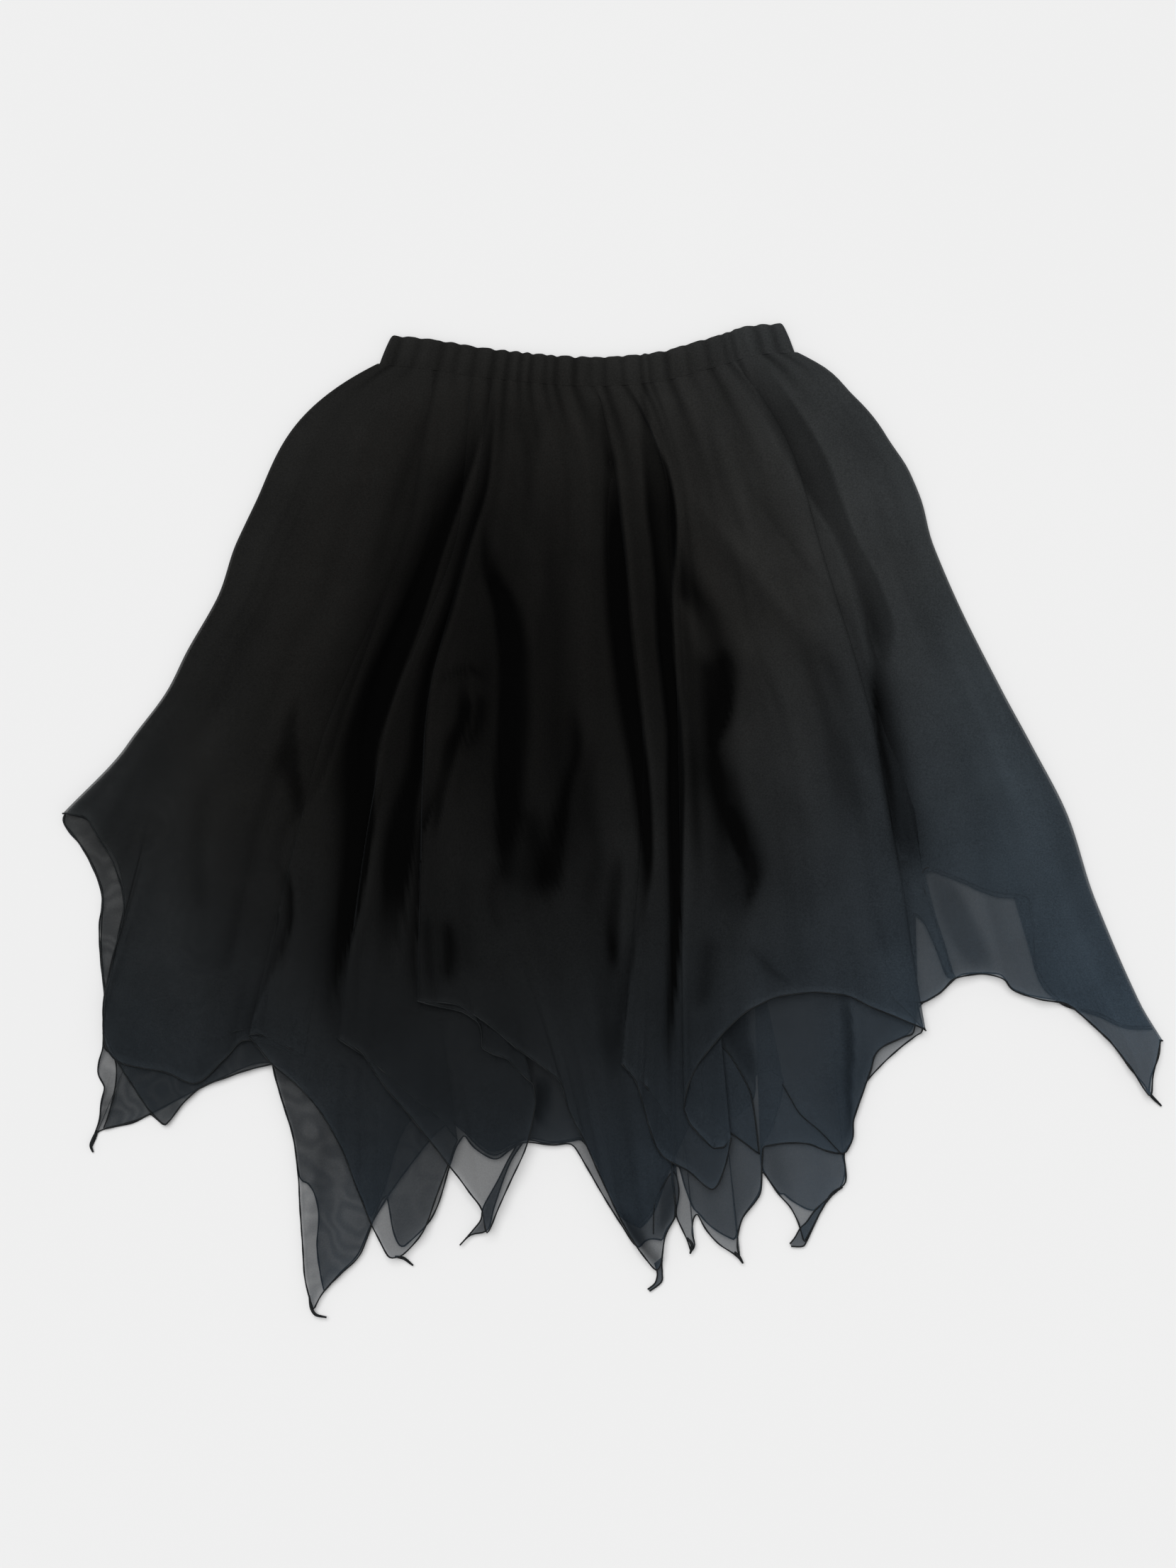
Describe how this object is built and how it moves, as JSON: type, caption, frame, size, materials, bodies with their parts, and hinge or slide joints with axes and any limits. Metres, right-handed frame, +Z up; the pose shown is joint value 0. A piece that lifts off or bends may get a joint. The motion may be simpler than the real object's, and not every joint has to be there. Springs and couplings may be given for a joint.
{
  "type": "tiered skirt",
  "caption": "Tiered sheer skirt laid flat, with a gathered waist casing, a lapped and pleated overlay, an under tier and hems cut in long points",
  "frame": {"origin": "middle of the bounding box in X and Y, on the flat underside at Z = 0", "axes": "+X to the right of the skirt as it is seen laid on its back, +Y from the hem towards the waist, +Z up out of the front"},
  "size_m": [0.853, 0.7726, 0.0195],
  "materials": {
    "gathered_casing": "black chiffon gathered over waistband elastic, dull",
    "black_chiffon": "sheer black chiffon with a fine soft sheen"
  },
  "bodies": {
    "root": {"waist_casing_front": "gathered_casing", "waist_casing_back": "gathered_casing", "overlay_front": "black_chiffon", "overlay_back": "black_chiffon", "underskirt_front": "black_chiffon", "underskirt_back": "black_chiffon"}
  },
  "joints": []
}
